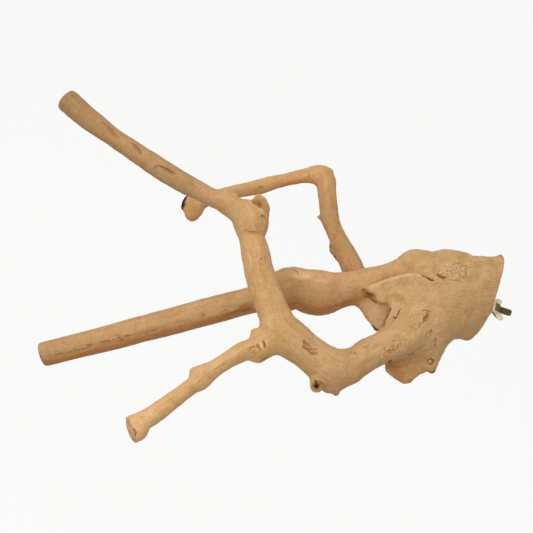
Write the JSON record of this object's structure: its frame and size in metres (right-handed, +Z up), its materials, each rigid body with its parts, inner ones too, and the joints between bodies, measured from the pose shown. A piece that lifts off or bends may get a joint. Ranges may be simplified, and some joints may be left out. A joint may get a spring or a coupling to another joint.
{
  "type": "branch perch for a bird cage",
  "caption": "Natural branching root-wood perch whose sawn face bolts to the wires of a bird cage with a hanger bolt, fender washers and a wing nut.",
  "frame": {"origin": "on the hanger bolt's axis, at the sawn face of the wood", "axes": "+Y along the bolt, out of the wood into the cage; +Z up as hung; the limbs lie towards -Y, and +X is the side with the forked front limb"},
  "size_m": [0.3606, 0.5627, 0.3006],
  "materials": {
    "wood": "bare debarked root wood, smoothed, uncoated",
    "bolt": "dark bronze-toned zinc, threaded",
    "washer": "zinc-plated, dull",
    "nut": "zinc-plated casting, dull"
  },
  "bodies": {
    "perch": {"root_crown": "wood", "long_perch_limb": "wood", "front_limb": "wood", "elbow_limb": "wood", "riser_limb": "wood", "upper_perch_limb": "wood", "side_perch_limb": "wood", "rear_limb": "wood", "rear_perch_limb": "wood", "hanger_bolt": "bolt"},
    "inner_washer": {"inner_washer": "washer"},
    "outer_washer": {"outer_washer": "washer"},
    "wing_nut": {"wing_nut": "nut"}
  },
  "joints": [
    {"name": "inner_washer_float", "type": "slide", "parent": "perch", "child": "inner_washer", "axis": [0, 1, 0], "range_m": [0, 0.0008]},
    {"name": "clamp_travel", "type": "slide", "parent": "perch", "child": "outer_washer", "axis": [0, 1, 0], "range_m": [0, 0.02125]},
    {"name": "wing_nut_turn", "type": "hinge", "parent": "outer_washer", "child": "wing_nut", "pos_m": [0, 0.005, 0], "axis": [0, 1, 0], "range_deg": [0, 6120]}
  ],
  "couplings": [
    {"joint": "clamp_travel", "follows": "wing_nut_turn", "m_per_rad": 0.00019894}
  ]
}
